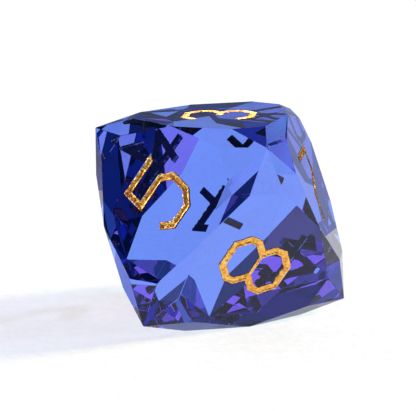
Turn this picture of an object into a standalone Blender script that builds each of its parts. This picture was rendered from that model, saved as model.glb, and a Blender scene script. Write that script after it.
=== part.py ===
"""An eight-sided die cut from coloured glass, with engraved numerals lined with gold paint.

The die lies on its 6 face, with the 3 face up. It is a regular octahedron whose twelve edges are
each bevelled twice, once from either end, and whose six corners are each ground to a low point by
four small facets. Every main face carries one engraved numeral, and each groove holds a thin
separate lining of paint that stops a little below the polished face.
"""

import math

import bmesh
import bpy
from mathutils import Matrix, Vector

MM = 0.001

# The octahedron, in metres. Its size is set by the distance between opposite faces.
FACE_TO_FACE = 15.0 * MM
CORNER_RADIUS = FACE_TO_FACE * math.sqrt(3) / 2
CORNER_RISE = math.asin(1 / math.sqrt(3))

# The facets, as fractions of the corner radius.
CORNER_CUT = 0.714
BEVEL_HALF_WIDTH = 0.072
BEVEL_REACH = 1 - CORNER_CUT - BEVEL_HALF_WIDTH
MID_EDGE = 0.5
BEVEL_SLOPE = (CORNER_CUT - MID_EDGE) / (MID_EDGE - BEVEL_REACH)
CORNER_POINT = MID_EDGE * (1 + BEVEL_SLOPE)
COPLANAR_ANGLE = math.radians(0.2)

# The numerals: centre-line box, and the section of the engraved groove.
NUMERAL_HEIGHT = 4.95 * MM
NUMERAL_WIDTH = 3.40 * MM
GROOVE_HALF_WIDTH = 0.29 * MM
GROOVE_DRAFT = 0.08 * MM
GROOVE_DEPTH = 0.20 * MM
CUT_ABOVE_FACE = 0.20 * MM

# The paint lining of a groove.
PAINT_GAP = 0.02 * MM
PAINT_THICKNESS = 0.08 * MM
PAINT_BELOW_FACE = 0.03 * MM

# The grid on which the numerals are drawn, as fractions of their width and height.
WIDE = 0.57
OUTER = 0.5
SLANT_START = 0.45
WAIST = 0.29
INNER = 0.26
STEM = 0.13
ROW_END = 0.555
ROW_TOP = 0.5
ROW_HIGH = 0.315
ROW_FLAG = 0.23
ROW_UPPER = 0.17
ROW_MIDDLE = 0.0
ROW_LOWER = -0.16
ROW_BAR = -0.22
ROW_LOW = -0.315
ROW_BOTTOM = -0.5
THIN_BAR = 0.55
END_SLANT = 0.7

# Each numeral was set by hand, so it sits a little off the middle of its face. Right, then up.
NUMERAL_SHIFT = {
    1: (0.43 * MM, 0.10 * MM),
    3: (0.0, -0.17 * MM),
    4: (0.30 * MM, 0.15 * MM),
    5: (0.30 * MM, 0.06 * MM),
    7: (-0.45 * MM, -0.19 * MM),
    8: (-0.02 * MM, 0.19 * MM),
}
UPSIDE_DOWN = (4,)

# Which numeral lies on which face. A face is named by the signs of its three corners.
FACES = {
    3: (1, 1, 1),
    5: (1, 1, -1),
    2: (1, -1, -1),
    1: (1, -1, 1),
    6: (-1, -1, -1),
    4: (-1, -1, 1),
    7: (-1, 1, 1),
    8: (-1, 1, -1),
}


def corner_direction(azimuth_degrees):
    """Unit vector from the die's centre to a corner of its top face."""
    azimuth = math.radians(azimuth_degrees)
    level = math.cos(CORNER_RISE)
    return Vector((level * math.cos(azimuth), level * math.sin(azimuth), math.sin(CORNER_RISE)))


# The three axes of the octahedron run through the corners of the top face.
AXES = (corner_direction(180), corner_direction(300), corner_direction(60))
CENTRE = Vector((0, 0, FACE_TO_FACE / 2))


def place(weights):
    """Point whose coordinates along the three corner axes are given in corner radii."""
    offset = Vector((0, 0, 0))
    for axis, weight in zip(AXES, weights):
        offset += axis * weight * CORNER_RADIUS
    return CENTRE + offset


def crystal_points():
    """Corner points, mid-edge points and bevel corners of the faceted octahedron."""
    points = []
    for first in range(3):
        for second in range(3):
            if second == first:
                continue
            third = 3 - first - second
            for signs in FACES.values():
                weights = [0.0, 0.0, 0.0]
                weights[first] = CORNER_CUT * signs[first]
                weights[second] = BEVEL_REACH * signs[second]
                weights[third] = BEVEL_HALF_WIDTH * signs[third]
                points.append(weights)
    for axis in range(3):
        following = (axis + 1) % 3
        for sign in (-1, 1):
            corner = [0.0, 0.0, 0.0]
            corner[axis] = CORNER_POINT * sign
            points.append(corner)
            for other_sign in (-1, 1):
                middle = [0.0, 0.0, 0.0]
                middle[axis] = MID_EDGE * sign
                middle[following] = MID_EDGE * other_sign
                points.append(middle)
    return [place(weights) for weights in points]


def crystal_mesh():
    """Closed mesh of the faceted octahedron, before the numerals are engraved."""
    shape = bmesh.new()
    for point in crystal_points():
        shape.verts.new(point)
    bmesh.ops.convex_hull(shape, input=shape.verts)
    bmesh.ops.dissolve_limit(
        shape,
        angle_limit=COPLANAR_ANGLE,
        verts=shape.verts,
        edges=shape.edges,
    )
    bmesh.ops.recalc_face_normals(shape, faces=shape.faces)
    mesh = bpy.data.meshes.new("crystal_body")
    shape.to_mesh(mesh)
    shape.free()
    return mesh


def face_frame(value, signs):
    """Matrix of a numeral on its face: X to the numeral's right, Y to its top, Z outwards."""
    normal = Vector((0, 0, 0))
    for axis, sign in zip(AXES, signs):
        normal += axis * sign
    normal.normalize()
    up = AXES[0] - normal * AXES[0].dot(normal)
    up.normalize()
    right = up.cross(normal)
    middle = CENTRE + normal * FACE_TO_FACE / 2
    shift_right, shift_up = NUMERAL_SHIFT.get(value, (0.0, 0.0))
    middle += right * shift_right + up * shift_up
    if value in UPSIDE_DOWN:
        up = -up
        right = -right
    turn = Matrix((right, up, normal)).transposed().to_4x4()
    return Matrix.Translation(middle) @ turn


class Stroke:
    """One engraved line: centre-line points, and how its section and its first end are made."""

    def __init__(self, points, closed=False, share=1.0, slant=0.0):
        self.points = points
        self.closed = closed
        self.share = share
        self.slant = slant


def numeral_strokes():
    """The strokes of the numerals, on the drawing grid."""
    return {
        1: [Stroke([(-INNER, ROW_FLAG), (0, ROW_TOP), (0, -ROW_END)])],
        2: [Stroke([
            (-OUTER, ROW_HIGH), (-INNER, ROW_TOP), (INNER, ROW_TOP), (OUTER, ROW_HIGH),
            (OUTER, ROW_UPPER), (-OUTER, ROW_LOW), (-OUTER, ROW_BOTTOM), (OUTER, ROW_BOTTOM),
        ])],
        3: [
            Stroke([
                (-OUTER, ROW_HIGH), (-INNER, ROW_TOP), (INNER, ROW_TOP), (OUTER, ROW_HIGH),
                (OUTER, ROW_UPPER), (WAIST, ROW_MIDDLE), (0, ROW_MIDDLE),
            ]),
            Stroke([
                (WAIST, ROW_MIDDLE), (OUTER, ROW_LOWER), (OUTER, ROW_LOW), (INNER, ROW_BOTTOM),
                (-INNER, ROW_BOTTOM), (-OUTER, ROW_LOW),
            ]),
        ],
        4: [
            Stroke([(STEM, ROW_TOP), (-WIDE, ROW_BAR), (WIDE, ROW_BAR)]),
            Stroke([(STEM, ROW_END), (STEM, -ROW_END)]),
        ],
        5: [Stroke([
            (SLANT_START, ROW_TOP), (-OUTER, ROW_TOP), (-OUTER, ROW_UPPER), (INNER, ROW_UPPER),
            (OUTER, ROW_MIDDLE), (OUTER, ROW_LOW), (INNER, ROW_BOTTOM), (-INNER, ROW_BOTTOM),
            (-OUTER, ROW_LOW),
        ], slant=END_SLANT)],
        6: [
            Stroke([
                (-OUTER, ROW_MIDDLE), (INNER, ROW_MIDDLE), (OUTER, ROW_LOWER), (OUTER, ROW_LOW),
                (INNER, ROW_BOTTOM), (-INNER, ROW_BOTTOM), (-OUTER, ROW_LOW),
            ], closed=True),
            Stroke([
                (OUTER, ROW_TOP), (-INNER, ROW_TOP), (-OUTER, ROW_HIGH), (-OUTER, ROW_MIDDLE),
            ]),
        ],
        7: [Stroke([
            (-WIDE, ROW_TOP), (WIDE, ROW_TOP), (WIDE, ROW_UPPER), (-INNER + STEM / 2, ROW_LOWER),
            (-INNER + STEM / 2, -ROW_END),
        ], slant=END_SLANT)],
        8: [
            Stroke([
                (-INNER, ROW_TOP), (INNER, ROW_TOP), (OUTER, ROW_HIGH), (OUTER, ROW_UPPER),
                (WAIST, ROW_MIDDLE), (OUTER, ROW_LOWER), (OUTER, ROW_LOW), (INNER, ROW_BOTTOM),
                (-INNER, ROW_BOTTOM), (-OUTER, ROW_LOW), (-OUTER, ROW_LOWER),
                (-WAIST, ROW_MIDDLE), (-OUTER, ROW_UPPER), (-OUTER, ROW_HIGH),
            ], closed=True),
            Stroke([(-WAIST, ROW_MIDDLE), (WAIST, ROW_MIDDLE)], share=THIN_BAR),
        ],
    }


def offset_side(points, closed, distance, end_trim, slant):
    """Points of a centre line moved sideways with mitred corners and shortened open ends."""
    count = len(points)
    moved = []
    for index, point in enumerate(points):
        has_before = closed or index > 0
        has_after = closed or index < count - 1
        before = (point - points[index - 1]).normalized() if has_before else None
        after = (points[(index + 1) % count] - point).normalized() if has_after else None
        if before is None:
            along = end_trim + slant * distance
            moved.append(point + after * along + Vector((-after.y, after.x)) * distance)
        elif after is None:
            moved.append(point - before * end_trim + Vector((-before.y, before.x)) * distance)
        else:
            side = Vector((-before.y, before.x)) + Vector((-after.y, after.x))
            side.normalize()
            along_normal = side.dot(Vector((-before.y, before.x)))
            moved.append(point + side * (distance / along_normal))
    return moved


def stroke_solid(name, stroke, low, high, end_trim):
    """Prism along a stroke. low and high are each a (height, half width) pair of its section."""
    points = [Vector((x * NUMERAL_WIDTH, y * NUMERAL_HEIGHT)) for x, y in stroke.points]
    shape = bmesh.new()
    rows = []
    for height, half_width in (low, high):
        for side in (1, -1):
            distance = side * (half_width - (1 - stroke.share) * GROOVE_HALF_WIDTH)
            line = offset_side(points, stroke.closed, distance, end_trim, stroke.slant)
            rows.append([shape.verts.new((spot.x, spot.y, height)) for spot in line])
    low_left, low_right, high_left, high_right = rows
    count = len(points)
    spans = count if stroke.closed else count - 1
    for start in range(spans):
        end = (start + 1) % count
        shape.faces.new((low_left[start], low_left[end], low_right[end], low_right[start]))
        shape.faces.new((high_left[start], high_right[start], high_right[end], high_left[end]))
        shape.faces.new((low_left[start], high_left[start], high_left[end], low_left[end]))
        shape.faces.new((low_right[start], low_right[end], high_right[end], high_right[start]))
    if not stroke.closed:
        for end in (0, count - 1):
            shape.faces.new((low_left[end], low_right[end], high_right[end], high_left[end]))
    bmesh.ops.recalc_face_normals(shape, faces=shape.faces)
    mesh = bpy.data.meshes.new(name)
    shape.to_mesh(mesh)
    shape.free()
    return mesh


def add_object(name, mesh, frame=None):
    """Put a mesh into the scene as a named object."""
    piece = bpy.data.objects.new(name, mesh)
    if frame is not None:
        piece.matrix_world = frame
    bpy.context.scene.collection.objects.link(piece)
    return piece


def as_helper(piece):
    """Mark an object as a cutter that is not part of the die."""
    piece.hide_render = True
    piece.display_type = "WIRE"
    return piece


def add_boolean(piece, operation, other):
    """Add an exact Boolean of another object to a piece."""
    modifier = piece.modifiers.new(operation.lower() + "_" + other.name, "BOOLEAN")
    modifier.operation = operation
    modifier.solver = "EXACT"
    modifier.object = other


def stroke_group(name, value, frame, low, high, end_trim):
    """One object for a whole numeral: its first stroke, joined with any further ones."""
    strokes = numeral_strokes()[value]
    pieces = []
    for index, stroke in enumerate(strokes):
        label = name if index == 0 else name + "_stroke_" + str(index + 1)
        mesh = stroke_solid(label, stroke, low, high, end_trim)
        pieces.append(add_object(label, mesh, frame))
    for extra in pieces[1:]:
        as_helper(extra)
        add_boolean(pieces[0], "UNION", extra)
    return pieces[0]


def draft_at(depth):
    """Half width of the engraved groove at a depth below the face."""
    return GROOVE_HALF_WIDTH - GROOVE_DRAFT * depth / GROOVE_DEPTH


def engrave_cutter(value, frame):
    """Cutter for the groove of one numeral."""
    low = (-GROOVE_DEPTH, draft_at(GROOVE_DEPTH))
    high = (CUT_ABOVE_FACE, draft_at(-CUT_ABOVE_FACE))
    return as_helper(stroke_group("cutter_" + str(value), value, frame, low, high, 0.0))


def numeral_lining(value, frame):
    """Trough-shaped paint lining that sits in the groove of one numeral."""
    bottom = GROOVE_DEPTH - PAINT_GAP
    low = (-bottom, draft_at(bottom) - PAINT_GAP)
    high = (-PAINT_BELOW_FACE, draft_at(PAINT_BELOW_FACE) - PAINT_GAP)
    lining = stroke_group("numeral_" + str(value), value, frame, low, high, PAINT_GAP)
    inset = PAINT_GAP + PAINT_THICKNESS
    floor = bottom - PAINT_THICKNESS
    hollow_low = (-floor, draft_at(floor) - inset)
    hollow_high = (CUT_ABOVE_FACE, draft_at(-CUT_ABOVE_FACE) - inset)
    hollow = stroke_group("hollow_" + str(value), value, frame, hollow_low, hollow_high, inset)
    add_boolean(lining, "DIFFERENCE", as_helper(hollow))
    return lining


def make_material(name, colour, roughness, metallic):
    """Principled material of one finish."""
    material = bpy.data.materials.new(name)
    material.use_nodes = True
    shader = material.node_tree.nodes["Principled BSDF"]
    shader.inputs["Base Color"].default_value = (*colour, 1.0)
    shader.inputs["Roughness"].default_value = roughness
    shader.inputs["Metallic"].default_value = metallic
    material.diffuse_color = (*colour, 1.0)
    return material


def clear_scene():
    """Remove whatever the scene starts with."""
    for existing in list(bpy.data.objects):
        bpy.data.objects.remove(existing, do_unlink=True)


def build_die():
    """Model the glass body and the eight numeral linings."""
    glass = make_material("tinted_glass", (0.05, 0.10, 0.62), 0.03, 0.0)
    paint = make_material("gold_paint", (0.83, 0.50, 0.13), 0.38, 0.85)
    body = add_object("crystal_body", crystal_mesh())
    body.data.materials.append(glass)
    for value, signs in FACES.items():
        frame = face_frame(value, signs)
        add_boolean(body, "DIFFERENCE", engrave_cutter(value, frame))
        lining = numeral_lining(value, frame)
        lining.data.materials.append(paint)


clear_scene()
build_die()
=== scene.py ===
"""Visual model, studio and camera for the eight-sided glass die."""

import math

import bmesh
import bpy
import numpy as np
from mathutils import Euler, Matrix, Vector


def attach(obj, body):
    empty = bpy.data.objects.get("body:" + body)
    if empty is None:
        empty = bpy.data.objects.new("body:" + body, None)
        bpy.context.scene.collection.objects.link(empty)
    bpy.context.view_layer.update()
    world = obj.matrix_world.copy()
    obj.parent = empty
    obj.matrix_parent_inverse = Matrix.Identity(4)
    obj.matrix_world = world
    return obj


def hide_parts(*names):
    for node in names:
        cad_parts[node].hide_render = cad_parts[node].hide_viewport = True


MM = 0.001

# The octahedron rests on one face. Its axes run through the three corners of the top face.
FACE_DISTANCE = 7.5 * MM
CENTRE = Vector((0, 0, FACE_DISTANCE))
CORNER_RISE = math.asin(1 / math.sqrt(3))
CORNER_AZIMUTHS = (180, 300, 60)
FACE_COUNT = 8

# Edges of the polished glass.
EDGE_ROUNDING = 0.035 * MM
COPLANAR_ANGLE = math.radians(0.2)
WELD = 0.00001 * MM

# What tells the parts of a numeral's CAD solid apart, seen from its face: the rim is level and
# lies near the face, and a level surface has a normal at least this upright.
RIM_LEVEL = -0.1 * MM
FLAT = 0.9

# The paint in a groove: a closed sheet over a fine grid, thick at the walls and thin on the floor.
# Heights are above the face.
GRID_STEP = 0.05 * MM
GRID_MARGIN = 4 * GRID_STEP
CORNERS_COVERED = 3
PAINT_OVERLAP = 0.02 * MM
PAINT_UNDER_DEPTH = 0.212 * MM
PAINT_EDGE = 0.002 * MM
PAINT_CREST = 0.014 * MM
PAINT_FLOOR = -0.06 * MM
CREST_REACH = 0.06 * MM
FLOOR_REACH = 0.20 * MM
TOP_FACE_LEVEL = -0.006 * MM

# Unevenness of the paint: its height, the size of its cells, and the step between their seeds.
EDGE_WANDER = 0.024 * MM
EDGE_CELL = (0.14 * MM, 0.14 * MM)
GRAIN_HEIGHT = 0.02 * MM
GRAIN_CELL = (0.07 * MM, 0.07 * MM)
MARK_HEIGHT = 0.03 * MM
MARK_CELL = (0.10 * MM, 0.40 * MM)
MARK_SHARE_AT_EDGE = 0.3
SEED = 8
SEED_STEP = 20
LATTICE_SIZE = 256
NO_LENGTH = 1e-12

# The glass.
GLASS_TINT = (0.16, 0.50, 1.0)
GLASS_INDEX = 1.60
MIRROR_TINT = (0.58, 0.60, 0.92)
SHADOW_TINT = (0.62, 0.85, 0.90)
ABSORPTION_COLOUR = (1.0, 0.0, 0.92)
ABSORPTION_DENSITY = 36.0

# Noise textures below are each given as cells per metre, detail and roughness. Most of a
# noise's values lie in the middle of its range, and that part is spread over what it drives.
NOISE_MIDDLE = (0.3, 0.7)

# The gold paint.
GOLD_COLOURS = (
    (0.36, (0.66, 0.27, 0.05)),
    (0.50, (1.0, 0.52, 0.095)),
    (0.64, (1.0, 0.70, 0.22)),
)
UNDERSIDE_COLOUR = (0.07, 0.045, 0.045)
GOLD_METALLIC = 0.9
GOLD_ROUGHNESS = (0.18, 0.34)
UNDERSIDE_DULLNESS = 0.5
GOLD_PATCHES = (3500.0, 4.0, 0.6)
GOLD_GRAIN = (14000.0, 3.0, 0.6)
GOLD_BUMP_STRENGTH = 0.8
GOLD_BUMP_HEIGHT = 0.03 * MM

# The paper that the die lies on. It is one flat sheet in three strips from front to back.
PAPER_COLOURS = (
    (NOISE_MIDDLE[0], (0.92, 0.92, 0.925)),
    (NOISE_MIDDLE[1], (0.97, 0.97, 0.97)),
)
PAPER_ROUGHNESS = 0.75
PAPER_FIBRES = (900.0, 5.0, 0.65)
PAPER_BUMP_STRENGTH = 0.25
PAPER_BUMP_HEIGHT = 0.3 * MM
FLOOR_SIDE = 0.9
FLOOR_FRONT = -0.05
FLOOR_SEAM = 0.045
FLOOR_BACK = 1.5
FLOOR_DROP = 0.02 * MM

# Soft patches of the room round the table, each as (azimuth, elevation), radius and colour, with
# angles in degrees. Their light is added to the colour of the room.
ROOM_COLOUR = (0.02, 0.05, 0.12)
ROOM_PATCHES = (
    ((-150, 6), 34, (0.0, 0.0, 0.30)),
    ((-30, 6), 30, (0.0, 0.0, 0.18)),
    ((0, 6), 30, (0.09, 0.14, 0.09)),
    ((60, 8), 30, (0.0, 0.08, 0.28)),
    ((90, 6), 30, (0.10, 0.10, 0.12)),
    ((180, 32), 38, (0.0, 0.06, 0.16)),
    ((45, 32), 38, (0.0, 0.0, 0.20)),
    ((-112, -6), 24, (0.24, 0.22, 0.10)),
    ((138, -16), 16, (0.58, 0.56, 0.84)),
    ((80, -8), 18, (0.29, 0.29, 0.48)),
)
# What the gold's rough gloss sees: a warm dim room with two soft boxes.
GLOSS_COLOUR = (0.14, 0.10, 0.10)
SOFT_BOXES = (
    ((140, 8), 30, (22.0, 20.5, 18.0)),
    ((98, 48), 28, (10.5, 7.8, 5.4)),
)
# What lights the paper: even white light, stronger from behind the die.
SOFT_LIGHT = (0.472, 0.472, 0.472)
BACK_LIGHT = (((95, 40), 100, (0.56, 0.56, 0.555)),)
# What the camera sees past the paper.
BACKDROP = (0.965, 0.965, 0.965)

# The lamp that casts the pale shadow. Its light comes from this azimuth and elevation in degrees.
KEY_STRENGTH = 2.2
KEY_WIDTH = math.radians(10)
KEY_SKY = (18, 27)

# The camera, looking slightly down at the edge between the 5 and the 8. Angles turn about X, Y, Z.
CAMERA_PLACE = Vector((19.558, -131.864, 38.336)) * MM
CAMERA_TILT = math.radians(77.2179)
CAMERA_ROLL = math.radians(1.6906)
CAMERA_TURN = math.radians(8.4258)
CAMERA_LENS = 157.35
SENSOR_WIDTH = 36
CAMERA_NEAREST = 0.001

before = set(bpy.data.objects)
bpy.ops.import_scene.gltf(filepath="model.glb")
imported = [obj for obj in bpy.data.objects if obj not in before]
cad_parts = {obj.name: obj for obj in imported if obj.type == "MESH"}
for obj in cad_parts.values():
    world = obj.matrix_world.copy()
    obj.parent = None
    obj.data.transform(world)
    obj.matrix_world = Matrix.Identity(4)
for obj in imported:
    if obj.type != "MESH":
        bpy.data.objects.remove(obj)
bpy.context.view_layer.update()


def direction(azimuth, elevation):
    level = math.cos(elevation)
    return Vector((level * math.cos(azimuth), level * math.sin(azimuth), math.sin(elevation)))


AXES = [direction(math.radians(azimuth), CORNER_RISE) for azimuth in CORNER_AZIMUTHS]


# ---------------------------------------------------------------- materials

def new_material(name):
    material = bpy.data.materials.new(name)
    material.use_nodes = True
    tree = material.node_tree
    return material, tree, tree.nodes["Principled BSDF"]


def noise(tree, scale, detail, roughness):
    coords = tree.nodes.new("ShaderNodeTexCoord")
    texture = tree.nodes.new("ShaderNodeTexNoise")
    texture.inputs["Scale"].default_value = scale
    texture.inputs["Detail"].default_value = detail
    texture.inputs["Roughness"].default_value = roughness
    tree.links.new(coords.outputs["Object"], texture.inputs["Vector"])
    return texture.outputs["Fac"]


def map_range(tree, value, low, high, to_low, to_high):
    node = tree.nodes.new("ShaderNodeMapRange")
    node.inputs["From Min"].default_value = low
    node.inputs["From Max"].default_value = high
    node.inputs["To Min"].default_value = to_low
    node.inputs["To Max"].default_value = to_high
    tree.links.new(value, node.inputs["Value"])
    return node.outputs["Result"]


def maths(tree, operation, first, second):
    node = tree.nodes.new("ShaderNodeMath")
    node.operation = operation
    tree.links.new(first, node.inputs[0])
    tree.links.new(second, node.inputs[1])
    return node


def ramp(tree, value, stops):
    node = tree.nodes.new("ShaderNodeValToRGB")
    elements = node.color_ramp.elements
    while len(elements) < len(stops):
        elements.new(0.5)
    for element, (position, colour) in zip(elements, stops):
        element.position = position
        element.color = (*colour, 1.0)
    tree.links.new(value, node.inputs["Fac"])
    return node.outputs["Color"]


def mix_colours(tree, share, colour, other):
    node = tree.nodes.new("ShaderNodeMixRGB")
    tree.links.new(share, node.inputs["Fac"])
    tree.links.new(colour, node.inputs["Color1"])
    tree.links.new(other, node.inputs["Color2"])
    return node.outputs["Color"]


def plain_colour(tree, colour):
    node = tree.nodes.new("ShaderNodeRGB")
    node.outputs[0].default_value = (*colour, 1.0)
    return node.outputs[0]


def bump(tree, height, strength, distance):
    node = tree.nodes.new("ShaderNodeBump")
    node.inputs["Strength"].default_value = strength
    node.inputs["Distance"].default_value = distance
    tree.links.new(height, node.inputs["Height"])
    return node.outputs["Normal"]


def glass_material():
    """Tinted glass with a perfect polish. The lamp's light passes straight through it."""
    material, tree, shader = new_material("tinted_glass")
    shader.inputs["Base Color"].default_value = (*GLASS_TINT, 1.0)
    shader.inputs["IOR"].default_value = GLASS_INDEX
    shader.inputs["Transmission Weight"].default_value = 1.0
    shader.inputs["Roughness"].default_value = 0.0
    shader.inputs["Specular Tint"].default_value = (*MIRROR_TINT, 1.0)
    volume = tree.nodes.new("ShaderNodeVolumeAbsorption")
    volume.inputs["Color"].default_value = (*ABSORPTION_COLOUR, 1.0)
    volume.inputs["Density"].default_value = ABSORPTION_DENSITY
    output = tree.nodes["Material Output"]
    tree.links.new(volume.outputs["Volume"], output.inputs["Volume"])
    path = tree.nodes.new("ShaderNodeLightPath")
    clear = tree.nodes.new("ShaderNodeBsdfTransparent")
    clear.inputs["Color"].default_value = (*SHADOW_TINT, 1.0)
    mix = tree.nodes.new("ShaderNodeMixShader")
    tree.links.new(path.outputs["Is Shadow Ray"], mix.inputs["Fac"])
    tree.links.new(shader.outputs["BSDF"], mix.inputs[1])
    tree.links.new(clear.outputs["BSDF"], mix.inputs[2])
    tree.links.new(mix.outputs["Shader"], output.inputs["Surface"])
    return material


def gold_material():
    """Gold paint pressed into a rough groove. Its unseen side against the glass is dark and dull."""
    material, tree, shader = new_material("gold_paint")
    patches = noise(tree, *GOLD_PATCHES)
    colour = ramp(tree, patches, GOLD_COLOURS)
    seen_side = tree.nodes.new("ShaderNodeAttribute")
    seen_side.attribute_name = "painted_side"
    share = seen_side.outputs["Fac"]
    sides = mix_colours(tree, share, plain_colour(tree, UNDERSIDE_COLOUR), colour)
    tree.links.new(sides, shader.inputs["Base Color"])
    shader.inputs["Metallic"].default_value = GOLD_METALLIC
    grain = noise(tree, *GOLD_GRAIN)
    grainy = map_range(tree, grain, *NOISE_MIDDLE, *GOLD_ROUGHNESS)
    dull = map_range(tree, share, 0.0, 1.0, UNDERSIDE_DULLNESS, 0.0)
    rough = maths(tree, "ADD", grainy, dull)
    tree.links.new(rough.outputs["Value"], shader.inputs["Roughness"])
    normal = bump(tree, grain, GOLD_BUMP_STRENGTH, GOLD_BUMP_HEIGHT)
    tree.links.new(normal, shader.inputs["Normal"])
    return material


def paper_material():
    material, tree, shader = new_material("floor_paper")
    fibres = noise(tree, *PAPER_FIBRES)
    tree.links.new(ramp(tree, fibres, PAPER_COLOURS), shader.inputs["Base Color"])
    shader.inputs["Roughness"].default_value = PAPER_ROUGHNESS
    shader.inputs["Specular IOR Level"].default_value = 0.0
    normal = bump(tree, fibres, PAPER_BUMP_STRENGTH, PAPER_BUMP_HEIGHT)
    tree.links.new(normal, shader.inputs["Normal"])
    return material


# ---------------------------------------------------------------- glass body

def add_object(name, mesh, material):
    mesh.materials.clear()
    mesh.materials.append(material)
    for polygon in mesh.polygons:
        polygon.use_smooth = False
    piece = bpy.data.objects.new(name, mesh)
    bpy.context.scene.collection.objects.link(piece)
    return piece


def welded(cad):
    """The mesh of a CAD node with the corners of neighbouring triangles joined."""
    shape = bmesh.new()
    shape.from_mesh(cad.data)
    bmesh.ops.remove_doubles(shape, verts=shape.verts, dist=WELD)
    return shape


def rounded_hull(cad):
    """The faceted outside of the die with its edges just broken, before the grooves."""
    joined = welded(cad)
    shape = bmesh.new()
    for vertex in joined.verts:
        shape.verts.new(vertex.co)
    joined.free()
    hull = bmesh.ops.convex_hull(shape, input=shape.verts)
    inside = [item for item in hull["geom_interior"] if isinstance(item, bmesh.types.BMVert)]
    bmesh.ops.delete(shape, geom=list(set(inside)), context="VERTS")
    loose = [vertex for vertex in shape.verts if not vertex.link_faces]
    bmesh.ops.delete(shape, geom=loose, context="VERTS")
    bmesh.ops.dissolve_limit(
        shape, angle_limit=COPLANAR_ANGLE, verts=shape.verts, edges=shape.edges)
    bmesh.ops.bevel(
        shape, geom=list(shape.edges) + list(shape.verts), offset=EDGE_ROUNDING,
        offset_type="WIDTH", segments=1, profile=0.5, affect="EDGES", clamp_overlap=True)
    bmesh.ops.recalc_face_normals(shape, faces=shape.faces)
    mesh = bpy.data.meshes.new("glass_hull")
    shape.to_mesh(mesh)
    shape.free()
    return mesh


def build_body(material):
    """The rounded hull with the engraved grooves of the CAD body cut into it."""
    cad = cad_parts["crystal_body"]
    hull = add_object("hull_helper", rounded_hull(cad), material)
    joined = welded(cad)
    engraved_mesh = bpy.data.meshes.new("engraved_helper")
    joined.to_mesh(engraved_mesh)
    joined.free()
    engraved = add_object("engraved_helper", engraved_mesh, material)
    cut = hull.modifiers.new("grooves", "BOOLEAN")
    cut.operation = "INTERSECT"
    cut.solver = "EXACT"
    cut.object = engraved
    bpy.context.view_layer.update()
    evaluated = hull.evaluated_get(bpy.context.evaluated_depsgraph_get())
    mesh = bpy.data.meshes.new_from_object(evaluated)
    mesh.name = "glass_body"
    for helper in (hull, engraved):
        bpy.data.objects.remove(helper, do_unlink=True)
    return add_object("glass_body", mesh, material)


# ---------------------------------------------------------------- paint

def face_matrix(cad):
    """Frame of the main face a numeral lies on: Z outwards, origin on the face plane."""
    middle = Vector((0, 0, 0))
    for vertex in cad.data.vertices:
        middle += vertex.co
    offset = middle / len(cad.data.vertices) - CENTRE
    normal = Vector((0, 0, 0))
    for axis in AXES:
        normal += axis * math.copysign(1.0, axis.dot(offset))
    normal.normalize()
    up = AXES[0] - normal * AXES[0].dot(normal)
    up.normalize()
    turn = Matrix((up.cross(normal), up, normal)).transposed().to_4x4()
    return Matrix.Translation(CENTRE + normal * FACE_DISTANCE) @ turn


def groove_outline(cad, place):
    """Segments of a numeral's outline in its face plane: where its rim meets its outer wall."""
    shape = welded(cad)
    shape.transform(place.inverted())
    shape.normal_update()
    rim, probes, base = [], [], []
    for edge in shape.edges:
        wall, level = sorted(edge.link_faces, key=lambda face: abs(face.normal.z))
        if abs(wall.normal.z) > FLAT or abs(level.normal.z) < FLAT:
            continue
        ends = [edge.verts[0].co[:2], edge.verts[1].co[:2]]
        if level.normal.z < 0:
            base.append(ends)
        elif level.calc_center_median().z > RIM_LEVEL:
            middle = (edge.verts[0].co + edge.verts[1].co) / 2
            outwards = Vector((wall.normal.x, wall.normal.y)).normalized()
            rim.append(ends)
            probes.append(Vector(middle[:2]) + outwards * GRID_STEP / 2)
    shape.free()
    beyond = outline_distance(np.array(probes), np.array(base))[0] < 0
    return np.array(rim)[beyond]


def outline_distance(points, segments):
    """Distance of points to the outline, positive inside it, and the nearest outline points."""
    start = segments[:, 0]
    along = segments[:, 1] - start
    from_start = points[:, None, :] - start[None]
    share = (from_start * along[None]).sum(2) / (along ** 2).sum(1)[None]
    near = start[None] + np.clip(share, 0, 1)[..., None] * along[None]
    gap = np.linalg.norm(points[:, None, :] - near, axis=2)
    nearest = gap.argmin(1)
    rows = np.arange(len(points))
    low, high = segments[:, 0, 1][None], segments[:, 1, 1][None]
    height = points[:, 1][:, None]
    spans = (low > height) != (high > height)
    rise = np.where(high == low, 1.0, high - low)
    cross = segments[:, 0, 0][None] + (height - low) / rise * along[:, 0][None]
    inside = (spans & (cross > points[:, 0][:, None])).sum(1) % 2 == 1
    distance = gap[rows, nearest]
    return np.where(inside, distance, -distance), near[rows, nearest]


def ease(share):
    """A slope from 0 to 1 with soft ends."""
    return share * share * (3 - 2 * share)


def smooth_noise(points, cell, seed):
    """Value noise in the plane, from -1 to 1, with the given cell size across and up."""
    lattice = np.random.default_rng(seed).uniform(-1, 1, (LATTICE_SIZE, LATTICE_SIZE))
    spot = points / np.array(cell)
    base = np.floor(spot).astype(int)
    part = ease(spot - base)
    total = np.zeros(len(points))
    for dx in (0, 1):
        for dy in (0, 1):
            across = part[:, 0] if dx else 1 - part[:, 0]
            up = part[:, 1] if dy else 1 - part[:, 1]
            column, row = (base[:, 0] + dx) % LATTICE_SIZE, (base[:, 1] + dy) % LATTICE_SIZE
            total += across * up * lattice[column, row]
    return total


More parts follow.
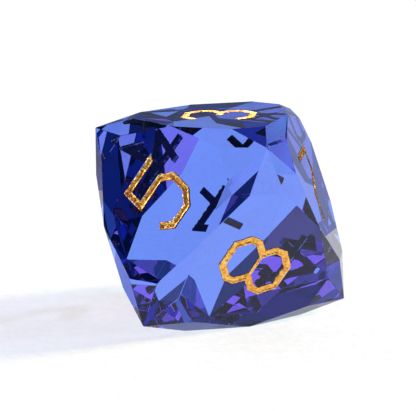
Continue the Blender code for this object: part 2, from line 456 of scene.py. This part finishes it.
def paint_cells(segments, seed):
    """The grid cells that the paint covers: points, how far each is inside its edge, quads."""
    low = segments.reshape(-1, 2).min(0) - GRID_MARGIN
    high = segments.reshape(-1, 2).max(0) + GRID_MARGIN
    columns, rows = np.ceil((high - low) / GRID_STEP).astype(int)
    grid_x, grid_y = np.meshgrid(np.arange(columns + 1), np.arange(rows + 1))
    points = low + np.stack([grid_x.ravel(), grid_y.ravel()], 1) * GRID_STEP
    distance, nearest = outline_distance(points, segments)
    edge = PAINT_OVERLAP + EDGE_WANDER * smooth_noise(points, EDGE_CELL, seed)
    reach = distance + edge
    corner = (grid_x[:-1, :-1] + grid_y[:-1, :-1] * (columns + 1)).ravel()
    quads = np.stack([corner, corner + 1, corner + columns + 2, corner + columns + 1], 1)
    quads = quads[(reach[quads] > 0).sum(1) >= CORNERS_COVERED]
    away = points - nearest
    length = np.linalg.norm(away, axis=1) + NO_LENGTH
    on_edge = nearest + away / length[:, None] * edge[:, None]
    points = np.where((reach < 0)[:, None], on_edge, points)
    return points, np.maximum(reach, 0), quads


def paint_heights(points, reach, seed):
    """Height of the paint's top: a crest along its edge, a trough, grain and marks across."""
    rise = np.clip(reach / CREST_REACH, 0, 1)
    fall = ease(np.clip((reach - CREST_REACH) / (FLOOR_REACH - CREST_REACH), 0, 1))
    top = PAINT_EDGE + (PAINT_CREST - PAINT_EDGE) * rise * (2 - rise)
    top += (PAINT_FLOOR - PAINT_CREST) * fall
    grain = smooth_noise(points, GRAIN_CELL, seed + SEED_STEP)
    marks = smooth_noise(points, MARK_CELL, seed + 2 * SEED_STEP)
    marks *= MARK_SHARE_AT_EDGE + (1 - MARK_SHARE_AT_EDGE) * fall
    return top + GRAIN_HEIGHT * grain + MARK_HEIGHT * marks


def sheet_mesh(name, place, points, top, quads):
    """A closed sheet from the paint's top down to the bottom of its groove."""
    used = np.unique(quads)
    count = len(used)
    index = {int(point): i for i, point in enumerate(used)}
    verts = [place @ Vector((*points[i], top[i])) for i in used]
    verts += [place @ Vector((*points[i], -PAINT_UNDER_DEPTH)) for i in used]
    faces = []
    border = {}
    for quad in quads:
        ids = [index[int(point)] for point in quad]
        faces.append(ids)
        faces.append([i + count for i in reversed(ids)])
        for first, second in zip(ids, ids[1:] + ids[:1]):
            if (second, first) in border:
                del border[(second, first)]
            else:
                border[(first, second)] = True
    for first, second in border:
        faces.append([second, first, first + count, second + count])
    mesh = bpy.data.meshes.new(name)
    mesh.from_pydata(verts, [], faces)
    side = mesh.attributes.new("painted_side", "FLOAT", "FACE")
    side.data.foreach_set("value", [float(max(ids) < count) for ids in faces])
    return mesh


def build_paint(name, cad, material, seed):
    """Paint in one numeral's groove. On the face that points up it stays below the face."""
    place = face_matrix(cad)
    points, reach, quads = paint_cells(groove_outline(cad, place), seed)
    top = paint_heights(points, reach, seed)
    if abs(place.col[2].z) > FLAT:
        top = np.minimum(top, TOP_FACE_LEVEL)
    return add_object(name, sheet_mesh(name, place, points, top, quads), material)


# ---------------------------------------------------------------- studio

def build_floor(name, front, back, material):
    corners = ((-FLOOR_SIDE, front), (FLOOR_SIDE, front), (FLOOR_SIDE, back), (-FLOOR_SIDE, back))
    mesh = bpy.data.meshes.new(name)
    mesh.from_pydata([(x, y, 0) for x, y in corners], [], [(0, 1, 2, 3)])
    piece = add_object(name, mesh, material)
    piece.location = (0, 0, -FLOOR_DROP)
    return piece


def build_paper():
    """Only the strip under the die shows in its mirror reflections. The one in front is for
    the camera alone, in views from the other side."""
    material = paper_material()
    build_floor("floor", FLOOR_FRONT, FLOOR_SEAM, material)
    far = build_floor("floor_far", FLOOR_SEAM, FLOOR_BACK, material)
    far.visible_glossy = False
    near = build_floor("floor_near", -FLOOR_BACK, FLOOR_FRONT, material)
    near.visible_glossy = False
    near.visible_transmission = False
    near.visible_diffuse = False


def sky_direction(place):
    azimuth, elevation = place
    return direction(math.radians(azimuth), math.radians(elevation))


def add_patches(tree, toward, colour, patches):
    """Adds round patches of light with soft edges to the colour of the room."""
    for place, radius, patch in patches:
        dot = tree.nodes.new("ShaderNodeVectorMath")
        dot.operation = "DOT_PRODUCT"
        tree.links.new(toward, dot.inputs[0])
        dot.inputs[1].default_value = sky_direction(place)
        share = tree.nodes.new("ShaderNodeMapRange")
        share.interpolation_type = "SMOOTHSTEP"
        share.inputs["From Min"].default_value = math.cos(math.radians(radius))
        share.inputs["From Max"].default_value = 1.0
        tree.links.new(dot.outputs["Value"], share.inputs["Value"])
        add = tree.nodes.new("ShaderNodeMixRGB")
        add.blend_type = "ADD"
        add.inputs["Color2"].default_value = (*patch, 1.0)
        tree.links.new(share.outputs["Result"], add.inputs["Fac"])
        tree.links.new(colour, add.inputs["Color1"])
        colour = add.outputs["Color"]
    return colour


def build_world():
    """The room as the glass, the gold, the paper and the camera see it."""
    world = bpy.data.worlds.new("studio")
    bpy.context.scene.world = world
    world.use_nodes = True
    tree = world.node_tree
    toward = tree.nodes.new("ShaderNodeTexCoord").outputs["Generated"]
    path = tree.nodes.new("ShaderNodeLightPath")
    rough_gloss = maths(
        tree, "SUBTRACT", path.outputs["Is Glossy Ray"], path.outputs["Is Singular Ray"])
    rough_gloss.use_clamp = True
    colour = add_patches(tree, toward, plain_colour(tree, ROOM_COLOUR), ROOM_PATCHES)
    soft_boxes = add_patches(tree, toward, plain_colour(tree, GLOSS_COLOUR), SOFT_BOXES)
    colour = mix_colours(tree, rough_gloss.outputs["Value"], colour, soft_boxes)
    soft = add_patches(tree, toward, plain_colour(tree, SOFT_LIGHT), BACK_LIGHT)
    colour = mix_colours(tree, path.outputs["Is Diffuse Ray"], colour, soft)
    backdrop = plain_colour(tree, BACKDROP)
    colour = mix_colours(tree, path.outputs["Is Camera Ray"], colour, backdrop)
    background = tree.nodes["Background"]
    background.inputs["Strength"].default_value = 1.0
    tree.links.new(colour, background.inputs["Color"])


def build_key():
    """A low lamp from the right, for the paper. The glass and the gold don't mirror it."""
    lamp = bpy.data.lights.new("key", "SUN")
    lamp.energy = KEY_STRENGTH
    lamp.angle = KEY_WIDTH
    key = bpy.data.objects.new("key", lamp)
    bpy.context.scene.collection.objects.link(key)
    key.rotation_euler = (-sky_direction(KEY_SKY)).to_track_quat("-Z", "Y").to_euler()
    key.visible_transmission = False
    key.visible_glossy = False


def build_camera():
    camera = bpy.data.cameras.new("camera")
    camera.lens = CAMERA_LENS
    camera.sensor_width = SENSOR_WIDTH
    camera.clip_start = CAMERA_NEAREST
    holder = bpy.data.objects.new("camera", camera)
    bpy.context.scene.collection.objects.link(holder)
    turn = Euler((CAMERA_TILT, CAMERA_ROLL, CAMERA_TURN)).to_matrix().to_4x4()
    holder.matrix_world = Matrix.Translation(CAMERA_PLACE) @ turn
    bpy.context.scene.camera = holder


# ---------------------------------------------------------------- the die and its studio

glass = glass_material()
gold = gold_material()
for node_name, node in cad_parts.items():
    node.data.materials.clear()
    node.data.materials.append(glass if node_name == "crystal_body" else gold)

body = build_body(glass)
# The light that the paper gathers passes the die by, so the paper round it stays pale.
body.visible_diffuse = False
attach(body, "root")
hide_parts("crystal_body")

for value in range(1, FACE_COUNT + 1):
    node_name = "numeral_" + str(value)
    paint = build_paint("gold_" + node_name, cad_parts[node_name], gold, SEED + value)
    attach(paint, "root")
    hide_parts(node_name)

build_paper()
build_world()
build_key()
build_camera()
bpy.context.scene.view_settings.view_transform = "Standard"
